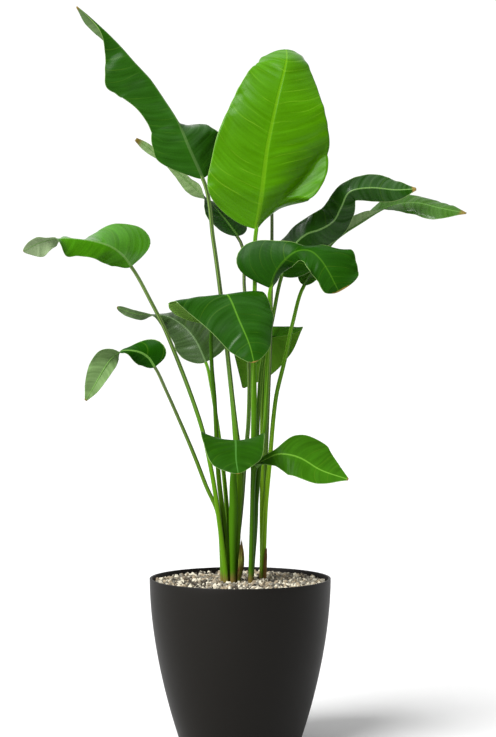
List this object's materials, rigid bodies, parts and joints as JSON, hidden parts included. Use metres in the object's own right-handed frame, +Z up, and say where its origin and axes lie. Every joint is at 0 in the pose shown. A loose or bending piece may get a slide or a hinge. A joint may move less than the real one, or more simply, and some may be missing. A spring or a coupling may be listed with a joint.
{
  "type": "potted bird of paradise",
  "caption": "Tall leafy houseplant with broad paddle-shaped arching leaves on long bare stalks, standing in a tapering round planter topped with gravel.",
  "frame": {"origin": "middle of the planter's flat underside, which rests on the floor", "axes": "+Z up through the planter's middle, +X to the viewer's right, +Y away from the viewer, so the front faces -Y"},
  "size_m": [0.8515, 0.4372, 1.4365],
  "materials": {
    "planter": "matte dark charcoal, faintly mottled",
    "soil": "damp dark brown, crumbly",
    "gravel": "dry matte stone in whites, beiges, greys and dull reds",
    "sheath": "dry papery brown",
    "stalk_green": "smooth satin leaf stalk, mid green",
    "stalk_dark": "smooth satin leaf stalk, dark green",
    "stalk_grey": "smooth satin leaf stalk, dull grey-green",
    "blade_lime": "satin young leaf, yellow-green with a paler rib",
    "blade_bright": "satin leaf, fresh green with a paler rib",
    "blade_deep": "glossy mature leaf, deep green with a paler rib",
    "blade_grey": "satin leaf, dull grey-green"
  },
  "bodies": {
    "root": {"planter": "planter", "potting_soil": "soil", "gravel_top": "gravel", "dry_sheath_left": "sheath", "dry_sheath_right": "sheath", "leaf_01_stalk": "stalk_green", "leaf_01_blade": "blade_deep", "leaf_02_stalk": "stalk_green", "leaf_02_blade": "blade_lime", "leaf_03_stalk": "stalk_grey", "leaf_03_blade": "blade_deep", "leaf_04_stalk": "stalk_green", "leaf_04_blade": "blade_bright", "leaf_05_stalk": "stalk_grey", "leaf_05_blade": "blade_deep", "leaf_06_stalk": "stalk_green", "leaf_06_blade": "blade_grey", "leaf_07_stalk": "stalk_dark", "leaf_07_blade": "blade_bright", "leaf_08_stalk": "stalk_dark", "leaf_08_blade": "blade_bright", "leaf_09_stalk": "stalk_dark", "leaf_09_blade": "blade_deep", "leaf_10_stalk": "stalk_grey", "leaf_10_blade": "blade_bright", "leaf_11_stalk": "stalk_green", "leaf_11_blade": "blade_bright", "leaf_12_stalk": "stalk_green", "leaf_12_blade": "blade_bright", "leaf_13_stalk": "stalk_green", "leaf_13_blade": "blade_deep", "leaf_14_stalk": "stalk_green", "leaf_14_blade": "blade_deep"}
  },
  "joints": []
}
